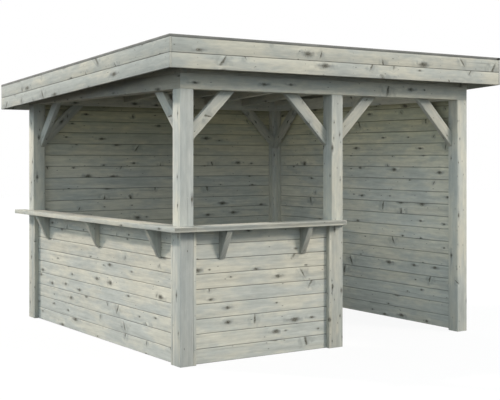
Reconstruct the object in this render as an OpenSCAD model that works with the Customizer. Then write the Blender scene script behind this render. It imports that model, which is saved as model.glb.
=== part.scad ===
// Open timber garden bar: five posts, a ring of beams, corner braces, a low-pitched roof that
// falls to the back, two full board walls, and an L of bar-height walls under a bracketed counter.
// Millimetres. X runs along the front, Y towards the back, Z up from the ground.

/* [Plan] */
// Width over the corner posts
frame_width = 3090; // [2400:10:4200]
// Depth over the corner posts
frame_depth = 3090; // [2400:10:4200]
// Side of the square posts and of the ring beams
post = 120; // [90:5:150]

/* [Heights] */
// Underside of the ring beams above the ground
beam_underside = 2160; // [1950:10:2500]
// Top of the bar counter above the ground
counter_top = 1090; // [900:5:1200]

/* [Roof] */
// Fascia face beyond the posts, on all four sides
overhang = 215; // [100:5:450]
// Fall of the roof towards the back, in degrees
fall_angle = 3; // [0:0.5:5]
// Lower edge of the front fascia above the ground
fascia_bottom = 2298; // [2100:1:2700]
// Height of each of the two fascia boards
fascia_board = 115.5; // [90:0.5:150]
// Thickness of the fascia boards
fascia_thickness = 20; // [16:1:32]
// Height of the roof-edge trim
trim_height = 21; // [12:1:60]
// Width of the roof-edge trim seen from above
trim_width = 45; // [30:1:90]
// Thickness of the roof boards
deck_thickness = 18; // [15:1:30]
// Thickness of the roofing and its underlay
roofing_thickness = 6; // [3:0.5:12]
// Width of a rafter
rafter_width = 60; // [40:1:80]
// Depth of a rafter
rafter_depth = 135; // [90:1:200]
// Distance between rafter centres
rafter_spacing = 500; // [350:5:700]

/* [Walls] */
// Thickness of the wall boards
board_thickness = 28; // [18:1:40]
// Outer face of the bar walls behind the posts' outer faces
bar_wall_recess = 42; // [0:1:50]
// Outer face of the full walls behind the posts' outer faces
full_wall_recess = 12; // [0:1:50]
// Width of the battens that hold the boards at the posts
batten_width = 26; // [20:1:45]
// Depth of the battens inside the full walls
batten_depth = 35; // [20:1:60]

/* [Braces] */
// Thickness of a corner brace
brace_thickness = 45; // [35:1:60]
// Width of a corner brace
brace_width = 95; // [70:1:120]
// Reach of a brace's lower edge along the beam and down the post
brace_leg = 435; // [300:5:600]

/* [Counter] */
// Thickness of the counter
counter_thickness = 38; // [28:1:60]
// Counter edge beyond the posts' outer faces
counter_overhang = 110; // [60:5:300]
// Counter inner edge behind the posts' outer faces
counter_inset = 80; // [60:5:115]
// How far the left counter runs past the back post
counter_back_run = 112; // [0:1:200]
// How far the front counter runs past the middle post
counter_front_run = 38; // [0:1:200]
// Length of the corner cut off the front counter's free end
counter_clip = 90; // [0:1:150]
// How far that cut stops before the post's outer face
counter_clip_stop = 5; // [0:1:60]

/* [Brackets] */
// Thickness of a counter bracket
bracket_thickness = 50; // [30:1:60]
// Height of a counter bracket
bracket_height = 233; // [150:1:350]
// Gap between a bracket's tip and the counter edge
bracket_reveal = 18; // [0:1:60]
// Depth of a bracket at its foot
bracket_foot = 15; // [8:1:40]
// Distance of the left brackets from the middle of the side
bracket_side = 1140; // [600:10:1400]
// Distance of the front brackets from the posts next to them
bracket_front = 283; // [100:1:500]

/* [Hidden] */
timber = "#b3b3a6";
dark = "#4a4c4d";

left = -frame_width / 2;
right = frame_width / 2;
front = -frame_depth / 2;
back = frame_depth / 2;
roof_left = left - overhang;
roof_right = right + overhang;
roof_front = front - overhang;
roof_back = back + overhang;
beam_top = beam_underside + post;
deck_top = fascia_bottom + 2 * fascia_board;
counter_under = counter_top - counter_thickness;
brace_inner_leg = brace_leg - brace_width * sqrt(2);
bar_inner = bar_wall_recess + board_thickness;
full_inner = full_wall_recess + board_thickness;

// height of a plane that starts at z on the front roof edge and falls with the roof
function sloped(z, y) = z - (y - roof_front) * tan(fall_angle);

// extrudes an outline drawn in (Y, Z) along X
module along_x(x, length, outline)
    translate([x, 0, 0]) rotate([90, 0, 90]) linear_extrude(height = length) polygon(outline);

// extrudes an outline drawn in (X, Z) along Y
module along_y(y, length, outline)
    translate([0, y + length, 0]) rotate([90, 0, 0]) linear_extrude(height = length) polygon(outline);

// a strip between y0 and y1 whose lower and upper faces both fall with the roof
module sloped_strip(x, length, y0, y1, z_low, z_high)
    along_x(x, length, [[y0, sloped(z_low, y0)], [y1, sloped(z_low, y1)],
        [y1, sloped(z_high, y1)], [y0, sloped(z_high, y0)]]);

// a box given by its two opposite corners
module block(low, high) translate(low) cube(high - low);

module square_post(x, y, height) color(timber) block([x, y, 0], [x + post, y + post, height]);
module post_front_left() square_post(left, front, beam_underside);
module post_front_middle() square_post(-post / 2, front, beam_underside);
module post_front_right() square_post(right - post, front, beam_underside);
module post_back_left() square_post(left, back - post, beam_underside);
module post_back_right() square_post(right - post, back - post, beam_underside);

// ring beams meet in mitres over the corner posts
module mitred_beam(length) color(timber) translate([0, 0, beam_underside])
    linear_extrude(height = post)
        polygon([[-length / 2, 0], [length / 2, 0], [length / 2 - post, post], [post - length / 2, post]]);
module beam_front() translate([0, front, 0]) mitred_beam(frame_width);
module beam_back() translate([0, back, 0]) rotate([0, 0, 180]) mitred_beam(frame_width);
module beam_left() translate([left, 0, 0]) rotate([0, 0, -90]) mitred_beam(frame_depth);
module beam_right() translate([right, 0, 0]) rotate([0, 0, 90]) mitred_beam(frame_depth);

// outline of a brace in the corner between a post face at s and the beam, leaning towards side
function brace_outline(s, side) = [[s, beam_underside - brace_leg],
    [s + side * brace_leg, beam_underside], [s + side * brace_inner_leg, beam_underside],
    [s, beam_underside - brace_inner_leg]];
module braces_front() color(timber) for (b = [[left + post, 1], [-post / 2, -1], [post / 2, 1],
        [right - post, -1]])
    along_y(front + post - brace_thickness, brace_thickness, brace_outline(b[0], b[1]));
module braces_back() color(timber) for (b = [[left + post, 1], [right - post, -1]])
    along_y(back - post, brace_thickness, brace_outline(b[0], b[1]));
module braces_left() color(timber) for (b = [[front + post, 1], [back - post, -1]])
    along_x(left + post - brace_thickness, brace_thickness, brace_outline(b[0], b[1]));
module braces_right() color(timber) for (b = [[front + post, 1], [back - post, -1]])
    along_x(right - post, brace_thickness, brace_outline(b[0], b[1]));

// roof carcass
rafter_top = deck_top - deck_thickness;
rafter_low = rafter_top - rafter_depth;
rafter_front_end = roof_front + fascia_thickness;
rafter_back_end = roof_back - fascia_thickness;
module roof_plate_front() color(timber) along_x(left + rafter_width, frame_width - 2 * rafter_width,
    [[front + 30, beam_top], [front + 90, beam_top],
     [front + 90, sloped(rafter_low, front + 90)], [front + 30, sloped(rafter_low, front + 30)]]);
module gable(x) color(timber) along_x(x, rafter_width,
    [[rafter_front_end, sloped(rafter_low, rafter_front_end)], [front, sloped(rafter_low, front)],
     [front, beam_top], [back, beam_top], [back, sloped(rafter_low, back)],
     [rafter_back_end, sloped(rafter_low, rafter_back_end)],
     [rafter_back_end, sloped(rafter_top, rafter_back_end)],
     [rafter_front_end, sloped(rafter_top, rafter_front_end)]]);
module roof_gable_left() gable(left);
module roof_gable_right() gable(right - rafter_width);
module rafters() color(timber) for (i = [-2 : 2])
    along_x(i * rafter_spacing - rafter_width / 2, rafter_width,
        [[rafter_front_end, sloped(rafter_low, rafter_front_end)],
         [back - post, sloped(rafter_low, back - post)], [back - post, beam_top],
         [back, beam_top], [back, sloped(rafter_low, back)],
         [rafter_back_end, sloped(rafter_low, rafter_back_end)],
         [rafter_back_end, sloped(rafter_top, rafter_back_end)],
         [rafter_front_end, sloped(rafter_top, rafter_front_end)]]);
module roof_deck() color(timber) sloped_strip(roof_left + fascia_thickness,
    frame_width + 2 * (overhang - fascia_thickness), rafter_front_end, rafter_back_end,
    rafter_top, deck_top);
module roofing() color(dark) sloped_strip(roof_left + trim_width,
    frame_width + 2 * (overhang - trim_width), roof_front + trim_width, roof_back - trim_width,
    deck_top, deck_top + roofing_thickness);
module end_trim(y) color(dark) sloped_strip(roof_left + trim_width,
    frame_width + 2 * (overhang - trim_width), y, y + trim_width, deck_top, deck_top + trim_height);
module side_trim(x) color(dark)
    sloped_strip(x, trim_width, roof_front, roof_back, deck_top, deck_top + trim_height);
module roof_trim_front() end_trim(roof_front);
module roof_trim_back() end_trim(roof_back - trim_width);
module roof_trim_left() side_trim(roof_left);
module roof_trim_right() side_trim(roof_right - trim_width);

// fascias: two boards on each side, the side ones covering the ends of the front and back ones
fascia_joint = fascia_bottom + fascia_board;
module end_fascia(y, low, high) color(timber) sloped_strip(roof_left + fascia_thickness,
    frame_width + 2 * (overhang - fascia_thickness), y, y + fascia_thickness, low, high);
module side_fascia(x, low, high) color(timber)
    sloped_strip(x, fascia_thickness, roof_front, roof_back, low, high);
module fascia_front_upper() end_fascia(roof_front, fascia_joint, deck_top);
module fascia_front_lower() end_fascia(roof_front, fascia_bottom, fascia_joint);
module fascia_back_upper() end_fascia(roof_back - fascia_thickness, fascia_joint, deck_top);
module fascia_back_lower() end_fascia(roof_back - fascia_thickness, fascia_bottom, fascia_joint);
module fascia_left_upper() side_fascia(roof_left, fascia_joint, deck_top);
module fascia_left_lower() side_fascia(roof_left, fascia_bottom, fascia_joint);
module fascia_right_upper() side_fascia(roof_right - fascia_thickness, fascia_joint, deck_top);
module fascia_right_lower() side_fascia(roof_right - fascia_thickness, fascia_bottom, fascia_joint);

// walls stand between the posts
module back_wall() color(timber) block([left + post, back - full_inner, 0],
    [right - post, back - full_wall_recess, beam_underside]);
module right_wall() color(timber) block([right - full_inner, front + post, 0],
    [right - full_wall_recess, back - post, beam_underside]);
module bar_wall_front() color(timber) block([left + post, front + bar_wall_recess, 0],
    [-post / 2, front + bar_inner, counter_under]);
module bar_wall_left() color(timber) block([left + bar_wall_recess, front + post, 0],
    [left + bar_inner, back - post, counter_under]);

// battens on both sides of the boards' ends, against the posts
module battens_front() color(timber) for (x = [left + post, -post / 2 - batten_width]) {
    block([x, front, 0], [x + batten_width, front + bar_wall_recess, counter_under]);
    block([x, front + bar_inner, 0], [x + batten_width, front + post, counter_under]);
}
module battens_left() color(timber) for (y = [front + post, back - post - batten_width]) {
    block([left, y, 0], [left + bar_wall_recess, y + batten_width, counter_under]);
    block([left + bar_inner, y, 0], [left + post, y + batten_width, counter_under]);
}
module battens_back() color(timber) for (x = [left + post, right - post - batten_width]) {
    block([x, back - full_wall_recess, 0], [x + batten_width, back, beam_underside]);
    block([x, back - full_inner - batten_depth, 0],
        [x + batten_width, back - full_inner, beam_underside]);
}
module battens_right() color(timber) for (y = [front + post, back - post - batten_width]) {
    block([right - full_wall_recess, y, 0], [right, y + batten_width, beam_underside]);
    block([right - full_inner - batten_depth, y, 0],
        [right - full_inner, y + batten_width, beam_underside]);
}

// the left wing of the counter runs through to the front, the front wing butts against it, and
// both are cut round the posts
module counter_left() color(timber) translate([0, 0, counter_under])
    linear_extrude(height = counter_thickness) polygon([
        [left - counter_overhang, front - counter_overhang],
        [left + counter_inset, front - counter_overhang], [left + counter_inset, front],
        [left, front], [left, front + post], [left + counter_inset, front + post],
        [left + counter_inset, back - post], [left, back - post],
        [left, back + counter_back_run], [left - counter_overhang, back + counter_back_run]]);
module counter_front() color(timber) translate([0, 0, counter_under])
    linear_extrude(height = counter_thickness) polygon([
        [left + counter_inset, front - counter_overhang],
        [post / 2 + counter_front_run - counter_clip, front - counter_overhang],
        [post / 2 + counter_front_run, front - counter_clip_stop],
        [post / 2 + counter_front_run, front],
        [-post / 2, front], [-post / 2, front + counter_inset],
        [left + post, front + counter_inset], [left + post, front], [left + counter_inset, front]]);

// tapered brackets under the counter
function bracket_outline(edge) = [[edge + bar_wall_recess, counter_under],
    [edge - counter_overhang + bracket_reveal, counter_under],
    [edge + bar_wall_recess - bracket_foot, counter_under - bracket_height],
    [edge + bar_wall_recess, counter_under - bracket_height]];
module brackets_front() color(timber)
    for (x = [left + post + bracket_front, -post / 2 - bracket_front])
        along_x(x - bracket_thickness / 2, bracket_thickness, bracket_outline(front));
module brackets_left() color(timber) for (y = [-bracket_side, 0, bracket_side])
    along_y(y - bracket_thickness / 2, bracket_thickness, bracket_outline(left));

post_front_left();
post_front_middle();
post_front_right();
post_back_left();
post_back_right();
beam_front();
beam_back();
beam_left();
beam_right();
braces_front();
braces_back();
braces_left();
braces_right();
roof_plate_front();
roof_gable_left();
roof_gable_right();
rafters();
roof_deck();
roofing();
roof_trim_front();
roof_trim_back();
roof_trim_left();
roof_trim_right();
fascia_front_upper();
fascia_front_lower();
fascia_back_upper();
fascia_back_lower();
fascia_left_upper();
fascia_left_lower();
fascia_right_upper();
fascia_right_lower();
back_wall();
right_wall();
bar_wall_front();
bar_wall_left();
battens_front();
battens_left();
battens_back();
battens_right();
counter_front();
counter_left();
brackets_front();
brackets_left();
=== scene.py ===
"""Looks of the timber garden bar: eased timbers, single wall boards, knots, grain and weathering.

Metres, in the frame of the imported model: X along the open front, Y towards the back, Z up.
"""
import math

import bmesh
import bpy
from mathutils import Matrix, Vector


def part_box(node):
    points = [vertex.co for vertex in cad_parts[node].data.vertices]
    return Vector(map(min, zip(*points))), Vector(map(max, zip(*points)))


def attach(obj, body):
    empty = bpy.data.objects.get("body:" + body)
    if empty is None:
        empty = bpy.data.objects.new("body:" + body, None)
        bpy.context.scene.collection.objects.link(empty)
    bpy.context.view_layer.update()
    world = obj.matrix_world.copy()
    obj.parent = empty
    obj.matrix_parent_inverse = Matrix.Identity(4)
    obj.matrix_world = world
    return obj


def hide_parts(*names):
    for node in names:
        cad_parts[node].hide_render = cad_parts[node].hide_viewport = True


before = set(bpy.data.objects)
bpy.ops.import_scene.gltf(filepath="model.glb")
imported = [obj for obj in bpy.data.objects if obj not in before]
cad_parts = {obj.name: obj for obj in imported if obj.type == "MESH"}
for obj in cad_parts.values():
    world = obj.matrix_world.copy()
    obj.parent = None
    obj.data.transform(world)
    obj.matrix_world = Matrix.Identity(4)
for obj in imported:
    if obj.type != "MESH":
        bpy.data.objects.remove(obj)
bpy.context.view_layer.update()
scene = bpy.context.scene


# ---------------------------------------------------------------- recipes for materials

class Flow:
    """A number, vector or colour on its way through a recipe."""

    def __init__(self, recipe, socket):
        self.recipe, self.socket = recipe, socket

    def maths(self, operation, *parts):
        return self.recipe.node("ShaderNodeMath", {"operation": operation}, dict(enumerate(parts)))

    def __add__(self, other):
        return self.maths("ADD", self, other)

    def __sub__(self, other):
        return self.maths("SUBTRACT", self, other)

    def __rsub__(self, other):
        return self.maths("SUBTRACT", other, self)

    def __mul__(self, other):
        return self.maths("MULTIPLY", self, other)

    def __truediv__(self, other):
        return self.maths("DIVIDE", self, other)

    def __rtruediv__(self, other):
        return self.maths("DIVIDE", other, self)

    def __pow__(self, other):
        return self.maths("POWER", self, other)

    __radd__ = __add__
    __rmul__ = __mul__

    def above(self, other):
        """1 where this is the larger of the two, and 0 elsewhere."""
        return self.maths("GREATER_THAN", self, other)

    def at_least(self, other):
        return self.maths("MAXIMUM", self, other)

    def size(self):
        return self.maths("ABSOLUTE", self)

    def whole(self):
        return self.maths("FLOOR", self)

    def fraction(self):
        return self.maths("FRACT", self)

    def wave(self):
        """0 to 1 and back for each whole number."""
        return self.maths("SINE", self * (2 * math.pi)) * 0.5 + 0.5

    def fade(self, start, end):
        """0 at start and 1 at end, eased; start may be the larger one."""
        return self.recipe.node(
            "ShaderNodeMapRange", {"interpolation_type": "SMOOTHSTEP"},
            {0: self, 1: start, 2: end, 3: 0.0, 4: 1.0})


class Recipe:
    """The nodes of one material, or of the world."""

    def __init__(self, owner):
        owner.use_nodes = True
        self.tree = owner.node_tree

    def node(self, kind, settings=None, feeds=None, give=0):
        """Adds a node, sets it, feeds its sockets, and gives one output or several."""
        made = self.tree.nodes.new(kind)
        for key, value in (settings or {}).items():
            setattr(made, key, value)
        for key, value in (feeds or {}).items():
            if isinstance(value, Flow):
                self.tree.links.new(value.socket, made.inputs[key])
            else:
                made.inputs[key].default_value = value
        if isinstance(give, (list, tuple)):
            return [Flow(self, made.outputs[g]) for g in give]
        return Flow(self, made.outputs[give])

    def dot(self, vector, direction):
        return self.node("ShaderNodeVectorMath", {"operation": "DOT_PRODUCT"},
                         {0: vector, 1: direction}, "Value")

    def vector(self, operation, *parts):
        return self.node("ShaderNodeVectorMath", {"operation": operation}, dict(enumerate(parts)))

    def bundle(self, x, y, z=0.0):
        return self.node("ShaderNodeCombineXYZ", feeds={0: x, 1: y, 2: z})

    def parts(self, vector):
        return self.node("ShaderNodeSeparateXYZ", feeds={0: vector}, give=(0, 1, 2))

    def noise(self, vector, detail=2.0, rough=0.5, scale=1.0):
        return self.node("ShaderNodeTexNoise", {"noise_dimensions": "3D"},
                         {"Vector": vector, "Scale": scale, "Detail": detail, "Roughness": rough})

    def cells(self, vector, scale=1.0, flat=True, give=("Distance", "Color"), **feeds):
        """Irregular cells, each with its own random colour, on a surface or through the whole."""
        return self.node(
            "ShaderNodeTexVoronoi",
            {"voronoi_dimensions": "2D" if flat else "3D", "feature": "F1"},
            {"Vector": vector, "Scale": scale, **feeds}, give)

    def blend(self, factor, one, other, mode="MIX"):
        return self.node("ShaderNodeMix", {"data_type": "RGBA", "blend_type": mode},
                         {0: factor, 6: one, 7: other}, 2)

    def shade(self, colour, amount):
        """Darkens or lightens a colour by a number."""
        return self.node("ShaderNodeVectorMath", {"operation": "SCALE"},
                         {0: colour, "Scale": amount})

    def seen(self):
        """1 for the camera, reflections and what clear things let through, 0 for other light."""
        camera_ray, glossy_ray, clear_ray = self.node(
            "ShaderNodeLightPath", give=("Is Camera Ray", "Is Glossy Ray", "Is Transmission Ray"))
        return camera_ray.at_least(glossy_ray.at_least(clear_ray))


class Finish(Recipe):
    """One material: its principled shader and the nodes that feed it."""

    def __init__(self, name, **plain):
        self.material = bpy.data.materials.new(name)
        super().__init__(self.material)
        self.shader = next(n for n in self.tree.nodes if n.type == "BSDF_PRINCIPLED")
        for socket, value in plain.items():
            self.shader.inputs[socket.replace("_", " ")].default_value = value

    def place(self):
        return self.node("ShaderNodeTexCoord", give="Object")

    def feed(self, **flows):
        for socket, flow in flows.items():
            self.tree.links.new(flow.socket, self.shader.inputs[socket.replace("_", " ")])

    def bump(self, height, distance, strength):
        self.feed(Normal=self.node(
            "ShaderNodeBump",
            feeds={"Height": height, "Distance": distance, "Strength": strength}))


def rgba(red, green, blue):
    """A colour given as it looks, 0 to 255, as the linear colour that shaders use."""
    def linear(level):
        level = level / 255
        return level / 12.92 if level <= 0.04045 else ((level + 0.055) / 1.055) ** 2.4
    return (linear(red), linear(green), linear(blue), 1.0)


# ---------------------------------------------------------------- softwood

WARM = rgba(197, 194, 180)
COOL = rgba(183, 186, 180)
GREYED = rgba(182, 186, 183)
PAINTED_BOUNCE_YELLOW = (1.03, 1.0, 0.80, 1.0)       # painted bounce light: what lies high up inside, under the roof, is multiplied by this
KNOT = rgba(108, 106, 95)
KNOT_DARK = rgba(64, 62, 54)

KNOT_ROW = 0.12                         # knots lie in rows this far apart across the grain
KNOT_LEAST, KNOT_MORE = 0.0068, 0.0150  # radius of the smallest knot, and what the largest adds

X, Y, Z = (1, 0, 0), (0, 1, 0), (0, 0, 1)
TO_LEFT, TO_FRONT, DOWN = (-1, 0, 0), (0, -1, 0), (0, 0, -1)


def oval(x, y):
    """How far out a place is, as a share of an oval's half axes."""
    return (x ** 2.0 + y ** 2.0) ** 0.5


class Knots:
    """One knot at most in each stretch of board, and what the timber round it looks like.

    share is how many stretches have a knot, and spikes how many of those knots are cut
    lengthwise, so that they run across the board as a spike.
    """

    def __init__(self, wood, length, face, share, scale, spikes, every):
        cell_luck, knot_at = wood.cells(wood.bundle(length / every, face / KNOT_ROW),
                                        give=("Color", "Position"), Randomness=0.9)
        size_luck, there_luck, spike_luck = wood.parts(cell_luck)
        at_x, at_y, _ = wood.parts(knot_at)
        from_x = length - at_x * every
        from_y = face - at_y * KNOT_ROW
        there = there_luck.fade(1.0 - share, 1.0 - share + 0.02)
        ragged = wood.noise(wood.bundle(length * 62.0, face * 62.0), 3.0, 0.7) - 0.5
        bent = wood.noise(wood.bundle(length * 22.0, face * 22.0, 3.0), 1.0) - 0.5
        radius = (size_luck ** 1.6 * KNOT_MORE + KNOT_LEAST) * scale * there + 0.0001

        # a spike leans, and narrows towards one edge of the board
        spike = spike_luck.fade(1.0 - spikes, 1.0 - spikes + 0.03)
        lean = (there_luck * 7.0).fraction() - 0.5
        tilted = from_x + from_y * lean * spike * 1.6 + bent * 0.012
        taper = (1.0 + (from_y / (radius * 4.0)) * spike * lean * 2.0).at_least(0.25)
        long_x = radius * (1.5 - spike * 0.85) * taper
        long_y = radius * (0.82 + spike * 1.7)
        away = oval(tilted / long_x, from_y / long_y) + ragged * 1.7
        speck = wood.noise(wood.bundle(length * 90.0, face * 90.0, 7.0), 1.0)
        self.knot = away.fade(1.6, 0.4)
        self.heart = away.fade(0.85, 0.30) * speck.fade(0.35, 0.6)

        # a smudge along the grain, dark fibres that trail away, and a pale patch beside some
        smudge = oval(from_x / (radius * 5.5), from_y / (long_y * 1.6)) + bent * 2.2
        self.smudge = smudge.fade(1.2, 0.1) * there
        tail = oval((from_x + (lean - bent) * 0.03) / (radius * 4.8),
                    (from_y + bent * 0.03) / (radius * 0.9))
        self.tail = tail.fade(1.1, 0.1) * there * size_luck.fade(0.35, 0.5) * (1.0 - spike)
        beside = radius * (2.2 - spike * 0.8)
        pale = (((tilted + beside) / beside) ** 2.0
                + ((from_y - radius) / (radius * (1.5 + spike * 1.6))) ** 2.0) + ragged * 1.2
        self.pale = pale.fade(1.2, 0.3) * there * size_luck.fade(0.30, 0.45)
        self.there, self.spike = there, spike

        # grain lines flow round a knot: where across the board they would be without it
        self.flow = face - from_y * 0.85 / (away * away * 0.45 + 1.0) * there


class Grain:
    """Growth rings, streaks, fibres, drying cracks and mottling, drawn out along the board."""

    def __init__(self, wood, length, flow, rings, lucks):
        luck_a, luck_b, luck_c = lucks

        def drawn_out(along, across, luck, detail, rough=0.5):
            return wood.noise(wood.bundle(length * along, flow * across, luck), detail, rough)

        slow = drawn_out(0.8, 7.0, luck_c * 9.0, 1.0)
        self.ring = (flow * rings + slow * 9.0).wave() ** 2.2
        self.streak = drawn_out(2.1, 36.0, luck_a * 5.0, 5.0, 0.70)
        self.fibre = drawn_out(11.0, 290.0, luck_b * 5.0, 2.0, 0.6)
        self.crack = drawn_out(1.0, 105.0, luck_b * 7.0, 1.5, 0.4).fade(0.715, 0.775)
        self.mottle = drawn_out(9.0, 26.0, luck_c * 3.0, 3.0, 0.6)


def softwood(name, along, across, through, pitch, start, seed, warm=0.5, light=1.0,
             knots=0.6, knot_size=1.0, spikes=0.3, pins=0.2, every=0.31, rings=150.0, wrap=1.0,
             joint=0.0, dark_band=None, greyed=None, indoors=None):
    """Weathered, pressure-treated softwood with its grain along one direction.

    Boards repeat at pitch along the three directions, counted from start, and each of them gets
    its own tone, its own knots and its own grain. warm is how much of the wood is still
    yellowish, and light how pale it is. knots, knot_size and spikes say how many knots there
    are, how large, and how many of them lie across the board; every is the length of board
    that has one at most, and pins how often a pin knot comes. wrap is 1 or -1, the way round
    in which the grain runs on from face to face. joint is how far a darkening reaches in from
    the long edges of a board, dirt and painted shade in the joint, and along its upper edge a
    board then gets a faint painted highlight. dark_band is a darker band on the counter's
    front edge, greyed says how far back the face is that has gone greyer than the others.
    indoors is how far from the middle of the bar a wall's inner side ends: walls are greyer at
    the foot, and inside, high up under the roof, painted bounce light makes them yellower, and
    painted shade makes them darker just below the beams.
    """
    wood = Finish(name, Roughness=0.85, Specular_IOR_Level=0.25)
    spot = wood.place()
    local = wood.bundle(wood.dot(spot, along), wood.dot(spot, across), wood.dot(spot, through))

    # which board this is, and four random numbers for it
    counted = wood.vector("DIVIDE", wood.vector("SUBTRACT", local, start), pitch)
    chance, colours = wood.node("ShaderNodeTexWhiteNoise", {"noise_dimensions": "4D"},
                                {"Vector": wood.vector("FLOOR", counted), "W": seed},
                                give=("Value", "Color"))
    lucks = wood.parts(colours)
    moved = wood.vector("ADD", local, wood.vector("MULTIPLY", colours, (23.0, 7.0, 9.0)))
    length, width, depth = wood.parts(moved)
    face = width + depth * wrap

    marks = Knots(wood, length, face, knots, knot_size, spikes, every)
    grain = Grain(wood, length, marks.flow, rings, lucks)
    pin, pin_luck = wood.cells(wood.bundle(length * 6.0 + 3.1, face * 15.0))
    pin = pin.fade(0.075, 0.03) * wood.parts(pin_luck)[0].above(1.0 - pins)
    blotch = wood.noise(wood.bundle(length * 2.2, face * 8.0, lucks[2] * 3.0), 3.0, 0.55) - 0.5
    cloud = wood.noise(wood.vector("ADD", spot, (seed, 0.0, seed)), 2.0, 0.5, 1.3) - 0.5
    streak, mottle = grain.streak - 0.5, grain.mottle - 0.5

    tone = (warm + cloud * 1.8 + blotch * 2.2 + (chance - 0.5) * 0.35 + mottle * 0.9
            - marks.smudge * 0.25).fade(0.0, 1.0)
    level = (1.0 + (lucks[1] - 0.5) * 0.10 + streak * 0.52 + blotch * 0.24 + cloud * 0.16
             + mottle * 0.30 + (grain.fibre - 0.5) * 0.24 - grain.ring * 0.07) * light
    if indoors is not None:
        sideways, back, up = wood.parts(spot)
        inside = sideways.size().at_least(back.size()).fade(indoors + 0.002, indoors - 0.002)
        tone = (tone + up.fade(0.1, 0.75) * 0.36 - 0.28).at_least(0.0)
        # inside, painted shade darkens the boards just below the beams; the streaks there are
        # stronger
        level = (level + streak * inside * 0.22) * (1.0 - up.fade(2.06, 2.15) * inside * 0.30)
    colour = wood.blend(tone, COOL, WARM)
    if indoors is not None:
        # inside, painted bounce light makes the boards yellower high up under the roof
        colour = wood.blend(up.fade(1.35, 2.15) * inside * 0.9, colour, PAINTED_BOUNCE_YELLOW, "MULTIPLY")
    level *= ((1.0 - grain.crack * 0.40) * (1.0 - marks.smudge * (0.06 + grain.streak * 0.34))
              * (1.0 - pin * 0.55))
    level *= 1.0 - marks.tail * grain.streak.fade(0.36, 0.60) * 0.5
    level *= 1.0 + marks.pale * (0.09 + marks.spike * 0.10)
    if joint:
        _, within, _ = wood.parts(wood.vector("FRACTION", counted))
        edge = 0.5 - (within - 0.5).size()
        # dirt and painted shade in the joints, along the long edges
        level *= 1.0 - edge.fade(joint / pitch[1], joint * 0.3 / pitch[1]) * 0.42
        # a painted highlight along the upper edge of each board
        level *= 1.0 + within.fade(0.86, 0.93) * 0.05
    if dark_band is not None:
        level *= edge_darkening(wood, spot, dark_band)
    if greyed is not None:
        _, back, _ = wood.parts(spot)
        grey = back.fade(greyed + 0.004, greyed + 0.001)
        colour = wood.blend(grey * 0.75, colour, GREYED)
        level *= 1.0 - grey * 0.12
    colour = wood.shade(colour, level)
    colour = wood.blend(marks.knot * 0.80, colour, KNOT)
    colour = wood.blend(marks.heart * marks.there * 0.8, colour, KNOT_DARK)
    wood.feed(Base_Color=colour, Roughness=0.86 + streak * 0.12 - marks.knot * 0.12)
    wood.bump(grain.fibre * 0.35 + grain.streak * 0.5 - grain.ring * 0.25 - grain.crack * 1.4
              - marks.heart * 0.5 + marks.knot * 0.35, 0.0011, 0.55)
    return wood.material


def edge_darkening(wood, spot, band):
    """How light the counter's front edge is: a band along its upper part is darker, unevenly."""
    low, high, front = band
    along, back, up = wood.parts(spot)
    dark = up.fade(low - 0.003, low + 0.004) * up.fade(high + 0.001, high - 0.004)
    patchy = wood.noise(wood.bundle(along * 3.0, back, up * 20.0), 3.0, 0.6)
    return 1.0 - dark * back.fade(front, front - 0.004) * (0.22 + patchy * 0.30)


def end_grain(name, across, through, light=1.0, dark_band=None):
    """Sawn ends: growth rings round a heart that lies below the piece, and drying cracks."""
    wood = Finish(name, Roughness=0.9, Specular_IOR_Level=0.2)
    spot = wood.place()
    one, other = wood.dot(spot, across), wood.dot(spot, through)
    from_heart = oval(one, other + 0.06)
    slow = wood.noise(wood.bundle(one * 14.0, other * 14.0), 2.0)
    ring = (from_heart * 190.0 + slow * 2.5).wave()
    speck = wood.noise(wood.bundle(one * 240.0, other * 240.0), 3.0, 0.6)
    crack = wood.noise(wood.bundle(one * 60.0, other * 9.0), 2.0).fade(0.66, 0.72)
    level = (0.74 + (speck - 0.5) * 0.35 - ring * 0.18) * (1.0 - crack * 0.45) * light
    if dark_band is not None:
        level *= edge_darkening(wood, spot, dark_band)
    wood.feed(Base_Color=wood.shade(wood.blend(slow, COOL, WARM), level))
    wood.bump(speck * 0.4 - ring * 0.3 - crack, 0.001, 0.5)
    return wood.material


# ---------------------------------------------------------------- metal and roofing

def coated_metal():
    """Dark grey coated sheet metal, dusty and a little scuffed."""
    metal = Finish("Trim_dark_grey_coating", Specular_IOR_Level=0.45)
    spot = metal.place()
    dust = metal.noise(spot, 4.0, 0.6, 5.0)
    grain = metal.noise(spot, 2.0, 0.5, 260.0)
    colour = metal.blend(dust.fade(0.35, 0.75), rgba(98, 100, 96), rgba(126, 127, 122))
    metal.feed(Base_Color=metal.shade(colour, 0.9 + grain * 0.2), Roughness=0.48 + dust * 0.25)
    metal.bump(grain, 0.0003, 0.4)
    return metal.material


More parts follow.
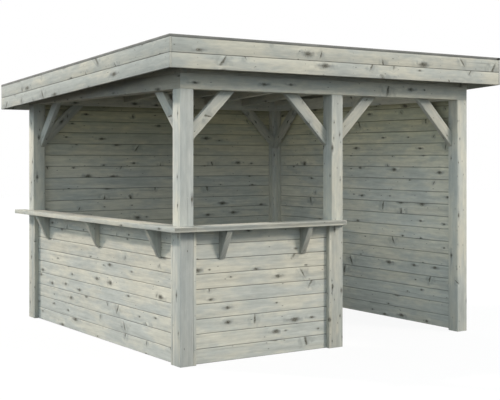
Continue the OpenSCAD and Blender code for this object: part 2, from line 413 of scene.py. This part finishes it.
def roofing_felt(first_edge, width):
    """Mineral-surfaced roofing: slate granules, rain streaks down the fall, paler dust.

    The lapped edges come every width from first_edge on, with a bead of bitumen along each.
    """
    felt = Finish("Roofing_mineral_felt", Roughness=0.95, Specular_IOR_Level=0.2)
    spot = felt.place()
    across, down, _ = felt.parts(spot)
    granule, luck = felt.cells(spot, 420.0, flat=False)
    rain = felt.noise(felt.bundle(across * 9.0, down * 0.9), 4.0, 0.6)
    dust = felt.noise(spot, 5.0, 0.65, 4.0)
    uneven = felt.noise(felt.bundle(across * 14.0, down), 2.0) * 0.006
    sheets = (down - first_edge) / width + uneven
    bead = sheets.fraction().fade(0.004, 0.010) * sheets.fraction().fade(0.022, 0.014)
    sheet = felt.node("ShaderNodeTexWhiteNoise", {"noise_dimensions": "1D"},
                      {"W": sheets.whole()})
    colour = felt.blend(dust.fade(0.3, 0.75), rgba(74, 76, 77), rgba(87, 88, 86))
    level = 0.57 + felt.parts(luck)[0] * 0.55 + (rain - 0.5) * 0.25 + sheet * 0.10
    felt.feed(Base_Color=felt.shade(colour, level * (1.0 - bead * 0.55)))
    felt.bump(granule, 0.0012, 0.5)
    return felt.material


def zinc():
    """Dull zinc plate of the screws."""
    metal = Finish("Screw_zinc", Metallic=0.9, Roughness=0.45)
    dull = metal.noise(metal.place(), 2.0, 0.5, 300.0)
    metal.feed(Base_Color=metal.blend(dull, rgba(120, 120, 112), rgba(165, 165, 158)),
               Roughness=0.35 + dull * 0.3)
    return metal.material


# ---------------------------------------------------------------- working the timber

def dot(one, other):
    return sum(a * b for a, b in zip(one, other))


def only(block):
    """Selects one object and nothing else."""
    bpy.ops.object.select_all(action="DESELECT")
    block.select_set(True)
    bpy.context.view_layer.objects.active = block


def rest_here():
    """Moves the selected object's place, turn and scale into its mesh."""
    bpy.ops.object.transform_apply(location=True, rotation=True, scale=True)
    return bpy.context.object


def sawn(name, low, high):
    """A squared length of timber between two corners."""
    bpy.ops.object.select_all(action="DESELECT")
    middle = [(a + b) / 2 for a, b in zip(low, high)]
    bpy.ops.mesh.primitive_cube_add(size=1, location=middle,
                                    scale=[b - a for a, b in zip(low, high)])
    block = rest_here()
    block.name = block.data.name = name
    return block


def cut(block, point, away):
    """Saws off what lies beyond a plane, whose normal points away from what stays."""
    only(block)
    bpy.ops.object.mode_set(mode="EDIT")
    bpy.ops.mesh.select_all(action="SELECT")
    bpy.ops.mesh.bisect(plane_co=point, plane_no=away, use_fill=True, clear_outer=True)
    bpy.ops.object.mode_set(mode="OBJECT")
    return block


def ease(block, width=0.003, segments=2):
    """Takes the sharpness off every arris."""
    only(block)
    bevel = block.modifiers.new("eased", "BEVEL")
    bevel.width, bevel.segments, bevel.limit_method = width, segments, "ANGLE"
    bevel.angle_limit = math.radians(25)
    bpy.ops.object.modifier_apply(modifier=bevel.name)
    bpy.ops.object.shade_smooth_by_angle(angle=math.radians(28))
    return block


def select_facing(block, direction):
    """In edit mode, selects the outermost faces that look in one direction."""
    mesh = bmesh.from_edit_mesh(block.data)
    reach = max(dot(v.co, direction) for v in mesh.verts)
    for face in mesh.faces:
        face.select_set(dot(face.normal, direction) > 0.9
                        and dot(face.calc_center_median(), direction) > reach - 0.0004)
    mesh.select_flush(False)
    bmesh.update_edit_mesh(block.data)


def tongue(block, direction, inset, out):
    """Insets the faces that look one way and pushes them out as a tongue, or in as a groove."""
    only(block)
    bpy.ops.object.mode_set(mode="EDIT")
    bpy.ops.mesh.select_mode(type="FACE")
    bpy.ops.mesh.select_all(action="DESELECT")
    select_facing(block, direction)
    bpy.ops.mesh.inset(thickness=inset)
    bpy.ops.mesh.extrude_region_move(
        TRANSFORM_OT_translate={"value": [out * d for d in direction]})
    bpy.ops.object.mode_set(mode="OBJECT")
    return block


def shifted(block, move):
    """A copy with its own mesh, moved."""
    only(block)
    bpy.ops.object.duplicate(linked=False)
    bpy.ops.transform.translate(value=move)
    return rest_here()


def repeated(block, step, count):
    """An array of the block, applied."""
    only(block)
    row = block.modifiers.new("row", "ARRAY")
    row.count, row.use_relative_offset, row.use_constant_offset = count, False, True
    row.constant_offset_displace = step
    bpy.ops.object.modifier_apply(modifier=row.name)
    return block


def together(name, blocks):
    """Joins blocks into one piece."""
    bpy.ops.object.select_all(action="DESELECT")
    for block in blocks:
        block.select_set(True)
    bpy.context.view_layer.objects.active = blocks[0]
    if len(blocks) > 1:
        bpy.ops.object.join()
    piece = bpy.context.object
    piece.name = piece.data.name = name
    return piece


def dress(piece, material, slot, *nodes, ends=None, end_direction=None):
    """Gives a finished piece its material and body, and hides the solids it stands for; slot is
    not used.

    ends is the material of the faces that look along end_direction, either way.
    """
    if material:
        piece.data.materials.clear()
        piece.data.materials.append(material)
    if ends:
        piece.data.materials.append(ends)
        only(piece)
        bpy.ops.object.mode_set(mode="EDIT")
        bpy.ops.mesh.select_all(action="DESELECT")
        mesh = bmesh.from_edit_mesh(piece.data)
        for face in mesh.faces:
            face.select_set(abs(dot(face.normal, end_direction)) > 0.8)
        bmesh.update_edit_mesh(piece.data)
        piece.active_material_index = 1
        bpy.ops.object.material_slot_assign()
        bpy.ops.object.mode_set(mode="OBJECT")
    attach(piece, "root")
    if nodes:
        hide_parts(*nodes)
    return piece


# ---------------------------------------------------------------- sizes, read from the solids

def corner(node):
    """A solid's lowest and highest corners, as lists that may be changed."""
    low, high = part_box(node)
    return list(low), list(high)


(LEFT, FRONT, _), (post_right, _, _) = corner("post_front_left")
POST = post_right - LEFT
RIGHT = corner("post_front_right")[1][0]
BACK = corner("post_back_left")[1][1]
BEAM_LOW, BEAM_TOP = [c[2] for c in corner("beam_front")]
COUNTER_LOW, COUNTER_TOP = [c[2] for c in corner("counter_front")]
ROOF_LEFT, ROOF_FRONT = corner("fascia_left_upper")[0][:2]
ROOF_RIGHT, ROOF_BACK = -ROOF_LEFT, -ROOF_FRONT
ROOF_EDGE = corner("fascia_front_upper")[1][2]      # roof boards' top at the front edge
FASCIA_SPLIT = corner("fascia_front_lower")[1][2]   # where its two boards meet
FASCIA_BOARD = ROOF_EDGE - FASCIA_SPLIT
FASCIA_THICK = corner("fascia_left_upper")[1][0] - ROOF_LEFT
FALL = math.radians(3)
DOWN_FALL = (0, math.cos(FALL), -math.sin(FALL))    # along the roof, towards the back
OFF_ROOF = (0, math.sin(FALL), math.cos(FALL))      # square to the roof
WALL_MIDDLE = sum(c[0] for c in corner("right_wall")) / 2    # from the middle of the bar

BOARD = 0.1175                  # cover width of a wall board
DECK_THICK = 0.018
RAFTER_WIDE, RAFTER_DEEP = 0.06, 0.135
BATTEN_WIDE = 0.026
LAP = 0.08                      # how far one width of roofing lies over the next
GAP, FASCIA_GAP = 0.002, 0.0016         # left open between two boards, and between two fascias

# width of an eased arris: on posts, on other timbers, on boards, and on what is small or thin
POST_EASE, EASE, BOARD_EASE, THIN_EASE, TRIM_EASE = 0.004, 0.003, 0.0025, 0.002, 0.0015


def roof_level(drop, y):
    """Height of a plane that lies drop below the roof boards' top."""
    return ROOF_EDGE - drop - (y - ROOF_FRONT) * math.tan(FALL)


def fallen(name, x, y, drop):
    """A strip whose upper and lower faces fall with the roof: x, y and drop are pairs."""
    spare = 0.05
    strip = sawn(name, (x[0], y[0], roof_level(drop[1], y[1]) - spare),
                 (x[1], y[1], roof_level(drop[0], y[0]) + spare))
    cut(strip, (0, y[0], roof_level(drop[0], y[0])), OFF_ROOF)
    cut(strip, (0, y[0], roof_level(drop[1], y[0])), [-c for c in OFF_ROOF])
    return strip


# ---------------------------------------------------------------- the finishes of this bar

# Pitches and starts of the boards, along, across and through them. ALL_ONE is a pitch so long
# that it makes one board of everything, and one of about a metre parts what stands apart.
ALL_ONE = 60.0
FAR = -ALL_ONE / 2
ONE, ONE_START = (ALL_ONE, ALL_ONE, ALL_ONE), (FAR, FAR, FAR)
POST_CELL, POST_START = (ALL_ONE, 1.0, 1.0), (FAR, -0.2, -0.2)
BEAM_CELL, BEAM_START = (ALL_ONE, ALL_ONE, 1.0), (FAR, FAR, 0.0)
WALL_CELL, WALL_START = (ALL_ONE, BOARD, 1.0), (FAR, 0, 0)
BRACE_CELL, BRACE_START = (ALL_ONE, 1.0, 1.5), (FAR, 0.75, -2.2)
BRACKET_CELL, BRACKET_START = (ALL_ONE, 1.0, 0.4), (FAR, -0.5, -0.1)
FASCIA_CELL = (ALL_ONE, FASCIA_BOARD * math.cos(FALL), 1.0)
FASCIA_START = (FAR, dot((0, ROOF_FRONT, FASCIA_SPLIT), OFF_ROOF), 0)

# a darker band on the counter's front edge: its bottom, its top and how far back it reaches
DARK_EDGE_BAND = (COUNTER_LOW + 0.013, COUNTER_LOW + 0.037, corner("counter_front")[0][1] + 0.006)

corner_post = softwood("Post_softwood_corner", Z, X, Y, POST_CELL, POST_START, 3.0, warm=0.5,
                       knots=0.5, knot_size=0.65, spikes=0.0, pins=0.1, every=0.24, rings=120,
                       wrap=-1.0, greyed=FRONT)
post_wood = softwood("Post_softwood", Z, X, Y, POST_CELL, POST_START, 3.0, warm=0.15, light=0.95,
                     knots=0.7, knot_size=0.8, spikes=0.1, pins=0.4, every=0.17, rings=120,
                     wrap=-1.0)
pale_post = softwood("Post_softwood_pale", Z, X, Y, POST_CELL, POST_START, 4.0, warm=0.45,
                     light=1.05, knots=0.6, knot_size=0.7, spikes=0.1, pins=0.4, every=0.20,
                     rings=120, wrap=-1.0)
beam_x_wood = softwood("Beam_softwood_x", X, Z, Y, BEAM_CELL, BEAM_START, 5.0, warm=0.75,
                       light=1.07, knots=0.4, spikes=0.1)
# the left beam is painted darker (0.68), as shade, and the right beam lighter (1.12), as light
side_beam_woods_lit_and_shaded = {
    "beam_" + side: softwood("Beam_softwood_" + side, Y, Z, X, BEAM_CELL, BEAM_START, 6.0,
                             warm=0.7, light=light, knots=0.4, spikes=0.1)
    for side, light in (("left", 0.68), ("right", 1.12))}
# the rafters are painted darker (0.85), as the shade under the roof
rafter_wood_painted_shade = softwood("Rafter_painted_shade", DOWN_FALL, OFF_ROOF, X, (ALL_ONE, ALL_ONE, 0.5),
                       (FAR, FAR, -0.25), 7.0, warm=0.8, light=0.85, knots=0.4)
wall_woods = {
    node: softwood("Wall_softwood_" + name, *directions, WALL_CELL, WALL_START, seed, warm=warm,
                   light=light, knots=knots, spikes=spikes, joint=0.005, indoors=WALL_MIDDLE)
    for node, name, directions, seed, warm, light, knots, spikes in (
        ("bar_wall_front", "x", (X, Z, Y), 11.0, 0.5, 1.0, 0.5, 0.25),
        ("back_wall", "back", (X, Z, Y), 11.0, 0.5, 1.06, 0.5, 0.25),
        ("bar_wall_left", "y", (Y, Z, X), 14.0, 0.56, 1.0, 0.6, 0.25),
        # the right wall's boards are painted lighter (1.10), as light that reaches the inside of
        # the bar
        ("right_wall", "right", (Y, Z, X), 17.0, 0.5, 1.10, 0.5, 0.2))}
batten_wood = softwood("Batten_softwood", Z, X, Y, POST_CELL, POST_START, 21.0, knots=0.25,
                       knot_size=0.6)
# the roof boards are painted darker (0.62), as the shade on their underside
deck_wood_painted_shade = softwood("Deck_painted_shade", X, DOWN_FALL, OFF_ROOF, (ALL_ONE, BOARD, ALL_ONE),
                     (FAR, ROOF_FRONT + FASCIA_THICK, FAR), 23.0, warm=0.8, light=0.62)
fascia_x_wood = softwood("Fascia_softwood_x", X, OFF_ROOF, Y, FASCIA_CELL, FASCIA_START, 31.0,
                         warm=0.25, light=0.93, knots=0.5, knot_size=1.3, spikes=0.5,
                         joint=0.005)
fascia_y_wood = softwood("Fascia_softwood_y", DOWN_FALL, OFF_ROOF, X, FASCIA_CELL, FASCIA_START,
                         34.0, warm=0.3, light=0.87, knots=0.6, knot_size=1.2, spikes=0.5,
                         joint=0.005)
counter_x_wood = softwood("Counter_softwood_x", X, Y, Z, ONE, ONE_START, 41.0, warm=0.35,
                          light=0.95, knots=0.35, knot_size=0.7, dark_band=DARK_EDGE_BAND)
counter_y_wood = softwood("Counter_softwood_y", Y, X, Z, ONE, ONE_START, 44.0, warm=0.35,
                          light=0.92, knots=0.5, knot_size=0.6)
bracket_wood = softwood("Bracket_softwood", Z, Y, X, BRACKET_CELL, BRACKET_START, 47.0,
                        warm=0.5, light=0.74, knots=0.0)
# the cheeks are painted: darker (0.66) as shade under the front counter, lighter (1.0) under the
# left one
bracket_cheeks_lit_and_shaded = [
    softwood("Bracket_cheek_lit_and_shaded_" + side, Z, Y, X, BRACKET_CELL, BRACKET_START, 48.0,
             warm=0.3, light=light, knots=0.3)
    for side, light in (("front", 0.66), ("left", 1.0))]
ends_x = end_grain("Sawn_ends_x", Y, Z, light=1.3)
ends_y = end_grain("Sawn_ends_y", X, Z, light=1.3)
counter_ends_x = end_grain("Counter_ends_x", Y, Z)
counter_ends_y = end_grain("Counter_ends_y", X, Z, light=1.25, dark_band=DARK_EDGE_BAND)
trim_metal = coated_metal()
screw_metal = zinc()


# ---------------------------------------------------------------- frame

# posts
for node in ("post_front_left", "post_front_middle", "post_front_right",
             "post_back_left", "post_back_right"):
    post = ease(sawn(node + "_timber", *corner(node)), POST_EASE)
    wood = {"post_front_left": corner_post, "post_front_middle": post_wood}.get(node, pale_post)
    dress(post, wood, "frame_timber", node)

# ring beams, mitred over the corner posts; run is the direction that a beam goes in, 0 for X
# and 1 for Y, and deep the direction through it
for node, run in (("beam_front", 0), ("beam_back", 0), ("beam_left", 1), ("beam_right", 1)):
    deep = 1 - run
    low, high = corner(node)
    beam = sawn(node + "_timber", low, high)
    outward = -1 if low[deep] < 0 else 1
    for end in (-1, 1):
        at, away = [0, 0, 0], [0, 0, 0]
        at[run], away[run] = (high if end > 0 else low)[run], end
        at[deep], away[deep] = (high if outward > 0 else low)[deep], -outward
        cut(beam, at, away)
    dress(ease(beam, EASE), side_beam_woods_lit_and_shaded.get(node, beam_x_wood), "frame_timber", node)

# corner braces at 45 degrees; side is 1 for one that rises towards higher X or Y, and -1 for
# one that rises the other way
BRACE_WIDE = 0.095
BRACE_LEG = BEAM_LOW - corner("braces_back")[0][2]
BRACE_MIDDLE = (2 * BRACE_LEG - BRACE_WIDE * math.sqrt(2)) / 4
BRACE_ROUGH = 0.9               # length before its ends are cut
SLANT = math.sqrt(0.5)
brace_woods = {}
for run, flat, thick in ((0, X, Y), (1, Y, X)):
    for side in (-1, 1):
        along = [side * SLANT * c for c in flat]
        across = [-side * SLANT * c for c in flat]
        along[2] = across[2] = SLANT
        brace_woods[run, side] = softwood(
            f"Brace_softwood_{'xy'[run]}{'up' if side > 0 else 'down'}", along, across, thick,
            BRACE_CELL, BRACE_START, 51.0 + side, warm=0.4, light=0.89, knots=0.5,
            knot_size=0.8, every=0.22)


def brace(run, side, foot, low, high):
    """A brace from a post's face at foot up to the beam, between two planes of thickness."""
    deep = 1 - run
    middle, size, turn = [0, 0, BEAM_LOW - BRACE_MIDDLE], [0, 0, BRACE_WIDE], [0, 0, 0]
    middle[run], size[run] = foot + side * BRACE_MIDDLE, BRACE_ROUGH
    middle[deep], size[deep] = (low + high) / 2, high - low
    turn[deep] = math.radians(45 if run else -45) * side
    bpy.ops.object.select_all(action="DESELECT")
    bpy.ops.mesh.primitive_cube_add(size=1, location=middle, rotation=turn, scale=size)
    piece = cut(rest_here(), (0, 0, BEAM_LOW), Z)
    at, away = [0, 0, 0], [0, 0, 0]
    at[run], away[run] = foot, -side
    cut(piece, at, away)
    ease(piece, EASE)
    piece.data.materials.append(brace_woods[run, side])
    return piece


from_left, from_right = (LEFT + POST, 1), (RIGHT - POST, -1)
from_front, from_back = (FRONT + POST, 1), (BACK - POST, -1)
from_middle = ((-POST / 2, -1), (POST / 2, 1))
for node, run, feet in (("braces_front", 0, (from_left, *from_middle, from_right)),
                        ("braces_back", 0, (from_left, from_right)),
                        ("braces_left", 1, (from_front, from_back)),
                        ("braces_right", 1, (from_front, from_back))):
    low, high = corner(node)
    pieces = [brace(run, side, foot, low[1 - run], high[1 - run]) for foot, side in feet]
    dress(together(node + "_timber", pieces), None, "frame_timber", node)


# ---------------------------------------------------------------- roof

# rafters with their packers, gables with their wedges, and the front plate
RAFTER_DROP = (DECK_THICK, DECK_THICK + RAFTER_DEEP)


def rafter(name, x0, x1, rest_from, rest_to):
    """A rafter from fascia to fascia, with the packer that carries it on the beams."""
    strip = fallen(name, (x0, x1), (ROOF_FRONT + FASCIA_THICK, ROOF_BACK - FASCIA_THICK),
                   RAFTER_DROP)
    narrower, into = 0.001, 0.002       # no face lies in the rafter's, and no slit shows
    packer = sawn(name + "_packer", (x0 + narrower, rest_from, BEAM_TOP),
                  (x1 - narrower, rest_to, BEAM_TOP + 0.4))
    cut(packer, (0, ROOF_FRONT, roof_level(RAFTER_DROP[1] - into, ROOF_FRONT)), OFF_ROOF)
    return [ease(strip, EASE), ease(packer, THIN_EASE)]


low, high = corner("rafters")
half = RAFTER_WIDE / 2
centres = [low[0] + half + i * (high[0] - low[0] - RAFTER_WIDE) / 4 for i in range(5)]
parts = []
for x in centres:
    parts += rafter("rafter", x - half, x + half, BACK - POST, BACK)
dress(together("rafters_timber", parts), rafter_wood_painted_shade, "frame_timber", "rafters")
for node in ("roof_gable_left", "roof_gable_right"):
    low, high = corner(node)
    gable = together(node + "_timber", rafter(node, low[0], high[0], FRONT, BACK))
    dress(gable, rafter_wood_painted_shade, "frame_timber", node)
low, high = corner("roof_plate_front")
plate = sawn("roof_plate_front_timber", low, (high[0], high[1], high[2] + 0.1))
cut(plate, (0, ROOF_FRONT, roof_level(RAFTER_DROP[1], ROOF_FRONT)), OFF_ROOF)
dress(ease(plate, THIN_EASE), beam_x_wood, "frame_timber", "roof_plate_front")

# roof boards, laid across the rafters
low, high = corner("roof_deck")
boards = fallen("roof_deck_boards", (low[0], high[0]), (low[1], low[1] + BOARD - GAP),
                (0, DECK_THICK))
ease(boards, BOARD_EASE, segments=1)
count = math.ceil((high[1] - low[1]) / (BOARD * math.cos(FALL)))
repeated(boards, [BOARD * c for c in DOWN_FALL], count)
cut(boards, (0, high[1], 0), Y)
dress(boards, deck_wood_painted_shade, "board_timber", "roof_deck")

# roofing in four widths, each lapped over the one below it
low, high = corner("roofing")
WIDTHS = 4
THICK_ABOVE, THICK_BELOW = 0.0025, 0.0055       # a width at its upper edge and at its lower one
width = (high[1] - low[1]) / WIDTHS
parts = []
for i in range(WIDTHS):
    y0 = low[1] + i * width
    y1 = y0 + width + (0.0 if i == WIDTHS - 1 else LAP)
    sheet = fallen("roofing_width", (low[0], high[0]), (y0, y1), (-0.02, 0.0))
    above, below = roof_level(-THICK_ABOVE, y0), roof_level(-THICK_BELOW, y1)
    parts.append(cut(sheet, (0, y0, above), (0, above - below, y1 - y0)))
dress(together("roofing_felt", parts), roofing_felt(low[1] + LAP, width), "roof_sheet", "roofing")

# roof-edge trim: an upright lip with a rim, then a slope down to the roofing
RIM, LIP, SLOPE = 0.014, 0.021, 0.36    # width of the rim, height of the lip, steepness
ROOF_REACH = (ROOF_RIGHT, ROOF_BACK)
for node, inward in (("roof_trim_front", Y), ("roof_trim_back", TO_FRONT),
                     ("roof_trim_left", X), ("roof_trim_right", TO_LEFT)):
    low, high = corner(node)
    run, deep = (0, 1) if inward[1] else (1, 0)
    low[run], high[run] = -ROOF_REACH[run], ROOF_REACH[run]
    trim = fallen(node + "_metal", (low[0], high[0]), (low[1], high[1]), (-LIP, 0.0))
    # front and back are mitred at both ends, left and right at one, and run through at the other
    for end in (-inward[0],) if run else (-1, 1):
        at, away = [0, 0, 0], list(inward)
        at[run], away[run] = end * ROOF_REACH[run], end
        at[deep] = -inward[deep] * ROOF_REACH[deep]
        cut(trim, at, away)
    outer = [high[k] if inward[k] < 0 else low[k] for k in (0, 1)]
    y = outer[1] + inward[1] * RIM if inward[1] else ROOF_FRONT
    rim = (outer[0] + inward[0] * RIM, y, roof_level(-LIP, y))
    cut(trim, rim, [OFF_ROOF[k] + SLOPE * inward[k] for k in range(3)])
    dress(ease(trim, TRIM_EASE), trim_metal, "roof_trim", node)

# fascias, two boards to a side
for side, wood, ends, lengthways in (("front", fascia_x_wood, ends_x, X),
                                     ("back", fascia_x_wood, ends_x, X),
                                     ("left", fascia_y_wood, ends_y, Y),
                                     ("right", fascia_y_wood, ends_y, Y)):
    for layer, drop in (("upper", (0.0, FASCIA_BOARD - FASCIA_GAP / 2)),
                        ("lower", (FASCIA_BOARD + FASCIA_GAP / 2, 2 * FASCIA_BOARD))):
        node = f"fascia_{side}_{layer}"
        low, high = corner(node)
        board = fallen(node + "_board", (low[0], high[0]), (low[1], high[1]), drop)
        dress(ease(board, BOARD_EASE), wood, "fascia_timber", node, ends=ends,
              end_direction=lengthways)


# ---------------------------------------------------------------- walls

WALL_EASE = 0.004               # the boards' long edges have a wide chamfer

# tongued boards laid one on another, the top one ripped to the wall's height
for node in ("back_wall", "right_wall", "bar_wall_front", "bar_wall_left"):
    low, high = corner(node)
    count = math.ceil((high[2] - low[2]) / BOARD)
    wall = sawn(node + "_boards", low, (high[0], high[1], low[2] + BOARD - GAP))
    tongue(wall, Z, inset=0.009, out=0.008)
    tongue(wall, DOWN, inset=0.0085, out=-0.009)
    ease(wall, WALL_EASE, segments=1)
    repeated(wall, (0, 0, BOARD), count)
    cut(wall, (0, 0, high[2]), Z)
    dress(wall, wall_woods[node], "board_timber", node)

# battens outside and inside each wall, at both ends of its boards
for node, wall, run in (("battens_front", "bar_wall_front", 0),
                        ("battens_left", "bar_wall_left", 1),
                        ("battens_back", "back_wall", 0),
                        ("battens_right", "right_wall", 1)):
    deep = 1 - run
    low, high = corner(node)
    wall_low, wall_high = corner(wall)
    parts = []
    for near, far in ((low[run], low[run] + BATTEN_WIDE), (high[run] - BATTEN_WIDE, high[run])):
        for inner, outer in ((low[deep], wall_low[deep]), (wall_high[deep], high[deep])):
            a, b = [0, 0, low[2]], [0, 0, high[2]]
            a[run], b[run], a[deep], b[deep] = near, far, inner, outer
            parts.append(ease(sawn(node, a, b), THIN_EASE))
    dress(together(node + "_timber", parts), batten_wood, "board_timber", node)


# ---------------------------------------------------------------- counter

def notch(plank, x, y):
    """Cuts a square recess out of a plank, between two places in x and two in y."""
    over = 0.02
    cutter = sawn("cutter", (x[0], y[0], COUNTER_LOW - over), (x[1], y[1], COUNTER_TOP + over))
    only(plank)
    recess = plank.modifiers.new("recess", "BOOLEAN")
    recess.operation, recess.object, recess.solver = "DIFFERENCE", cutter, "EXACT"
    bpy.ops.object.modifier_apply(modifier=recess.name)
    only(cutter)
    bpy.ops.object.delete()


# planks cut out round the posts
PAST = 0.02                     # how far a recess goes past the plank's edge
low, high = corner("counter_left")
wing = sawn("counter_left_plank", low, high)
notch(wing, (LEFT, high[0] + PAST), (FRONT, FRONT + POST))
notch(wing, (LEFT, high[0] + PAST), (BACK - POST, high[1] + PAST))
dress(ease(wing, EASE), counter_y_wood, "counter_timber", "counter_left",
      ends=counter_ends_y, end_direction=Y)
low, high = corner("counter_front")
wing = sawn("counter_front_plank", low, high)
notch(wing, (low[0] - PAST, LEFT + POST), (FRONT, high[1] + PAST))
notch(wing, (-POST / 2, high[0] + PAST), (FRONT, high[1] + PAST))
CLIP, CLIP_STOP = 0.09, 0.005   # the clipped corner, and how far short of the post it stops
cut(wing, (high[0], FRONT - CLIP_STOP, 0), (FRONT - CLIP_STOP - low[1], -CLIP, 0))
dress(ease(wing, EASE), counter_x_wood, "counter_timber", "counter_front",
      ends=counter_ends_x, end_direction=X)

# brackets under the counter
BRACKET_THICK, BRACKET_FOOT = 0.05, 0.015       # its foot is what is left at the lower end
for node, run, count in (("brackets_front", 0, 2), ("brackets_left", 1, 3)):
    out = 1 - run
    low, high = corner(node)
    step = (high[run] - low[run] - BRACKET_THICK) / (count - 1)
    foot, away = [0, 0, low[2]], [0, 0, 0]
    foot[out] = high[out] - BRACKET_FOOT
    away[out], away[2] = -(high[2] - low[2]), -(foot[out] - low[out])
    parts = []
    for i in range(count):
        a, b = list(low), list(high)
        a[run] = low[run] + i * step
        b[run] = a[run] + BRACKET_THICK
        parts.append(ease(cut(sawn(node, a, b), foot, away), THIN_EASE))
    dress(together(node + "_timber", parts), bracket_wood, "counter_timber", node,
          ends=bracket_cheeks_lit_and_shaded[run], end_direction=(X, Y)[run])


# ---------------------------------------------------------------- screws

def screw_heads(direction, places):
    """Countersunk heads in a row of places, all looking one way, along X or Y."""
    turn = (0, math.pi / 2, 0) if direction[0] else (-math.pi / 2, 0, 0)
    bpy.ops.object.select_all(action="DESELECT")
    bpy.ops.mesh.primitive_cylinder_add(vertices=10, radius=0.0042, depth=0.004,
                                        location=places[0], rotation=turn)
    head = tongue(rest_here(), direction, inset=0.0022, out=-0.0012)
    return [head] + [shifted(head, [a - b for a, b in zip(place, places[0])])
                     for place in places[1:]]


SUNK = 0.0016                   # middle of a head behind the timber's face
FASCIA_ROWS = (0.03, 0.086, 0.146, 0.2)             # below the roof boards' top
edge = RAFTER_WIDE / 2
over_rafters = [corner("roof_gable_left")[0][0] + edge, *centres,
                corner("roof_gable_right")[1][0] - edge]
up_sides = [ROOF_FRONT + 0.06 + i * 0.485 for i in range(8)]
up_bar = [0.12 + i * 0.27 for i in range(4)]
up_wall = [0.12 + i * 0.32 for i in range(7)]
edge = BATTEN_WIDE / 2
heads = []
for y, inward, look in ((ROOF_FRONT, SUNK, TO_FRONT), (ROOF_BACK, -SUNK, Y)):
    for drop in FASCIA_ROWS:
        heads += screw_heads(look, [(x, y + inward, roof_level(drop, y)) for x in over_rafters])
for x, look in ((ROOF_LEFT + SUNK, TO_LEFT), (ROOF_RIGHT - SUNK, X)):
    for drop in FASCIA_ROWS:
        heads += screw_heads(look, [(x, y, roof_level(drop, y)) for y in up_sides])
for x in (LEFT + POST + edge, -POST / 2 - edge):
    heads += screw_heads(TO_FRONT, [(x, FRONT + SUNK, z) for z in up_bar])
for y in (FRONT + POST + edge, BACK - POST - edge):
    heads += screw_heads(TO_LEFT, [(LEFT + SUNK, y, z) for z in up_bar])
    heads += screw_heads(X, [(RIGHT - SUNK, y, z) for z in up_wall])
for x in (LEFT + POST + edge, RIGHT - POST - edge):
    heads += screw_heads(Y, [(x, BACK - SUNK, z) for z in up_wall])
dress(together("screws", heads), screw_metal, "roof_trim")


# ---------------------------------------------------------------- floor and surroundings

GROUND, SHOWN = 0.028, 0.908    # what the floor gives back as light, and what the camera sees
HORIZON, ZENITH = 1.28, 0.35    # brightness of the surroundings, low and high up
LOW, HIGH = 0.42, 0.92          # where the one starts to turn into the other, and ends
bpy.ops.object.select_all(action="DESELECT")
bpy.ops.mesh.primitive_plane_add(size=60, location=(0, 0, -0.001))
floor = bpy.context.object
floor.name = "floor"
white = Finish("White_floor", Roughness=1.0, Specular_IOR_Level=0.0, Emission_Strength=1.0)
seen = white.seen()
white.feed(Base_Color=white.blend(seen, (0.03, 0.03, 0.03, 1), (0.09, 0.09, 0.09, 1)),
           Emission_Color=white.blend(seen, (GROUND, GROUND * 0.93, GROUND * 0.62, 1),
                                      (SHOWN, SHOWN, SHOWN, 1)))
floor.data.materials.append(white.material)

# a bright horizon that fades towards the zenith, a little brighter at the back left, lights
# the shade; what the camera sees is white
scene.world = bpy.data.worlds.new("Studio")
sky = Recipe(scene.world)
sky.tree.nodes.remove(sky.tree.nodes["Background"])
around = sky.node("ShaderNodeTexCoord", give="Generated")
dome = sky.parts(around)[2].fade(LOW, HIGH) * (ZENITH - HORIZON) + HORIZON
fill = sky.node("ShaderNodeBackground",
                feeds={"Color": (0.885, 1.0, 1.06, 1),
                       "Strength": dome * (sky.dot(around, (-0.16, 0.15, 0.0)) + 1.0)})
backdrop = sky.node("ShaderNodeBackground", feeds={"Color": (1, 1, 1, 1), "Strength": 1.0})
mixed = sky.node("ShaderNodeMixShader", feeds={0: sky.seen(), 1: fill, 2: backdrop})
sky.tree.links.new(mixed.socket, sky.tree.nodes["World Output"].inputs["Surface"])


# ---------------------------------------------------------------- lamps and camera

def lamp(name, kind, comes_from, energy, colour, at=(0, 0, 4), **extra):
    """A lamp whose light comes from one direction."""
    bpy.ops.object.select_all(action="DESELECT")
    bpy.ops.object.light_add(type=kind, location=at)
    made = bpy.context.object
    made.name = name
    made.rotation_mode = "QUATERNION"
    made.rotation_quaternion = (-Vector(comes_from)).to_track_quat("-Z", "Y")
    made.data.energy, made.data.color = energy, colour
    for key, value in extra.items():
        setattr(made.data, key, value)
    return made


lamp("Front_sun", "SUN", (1.0, -1.5, 0.98), 2.05, (1.0, 0.90, 0.80), angle=math.radians(16))
lamp("Left_sun", "SUN", (-1.0, 1.35, 1.06), 2.7, (1.0, 0.88, 0.78), angle=math.radians(4.5))
bay = lamp("Bay_fill", "AREA", (-1.0, 0.0, 0.0), 4.7, (0.95, 1.0, 1.0), at=(0.09, -0.65, 1.1),
           shape="RECTANGLE", size=1.6, size_y=1.9)
bay.visible_camera = False

bpy.ops.object.camera_add(location=(-5.5494, -8.5279, 1.6392),
                          rotation=(math.radians(90), 0, math.radians(-33.676)))
camera = bpy.context.object
camera.name = "Camera"
camera.data.sensor_width, camera.data.lens = 36.0, 74.86
camera.data.shift_y = -0.0886
camera.data.dof.use_dof = False
scene.camera = camera
scene.view_settings.view_transform = "Standard"
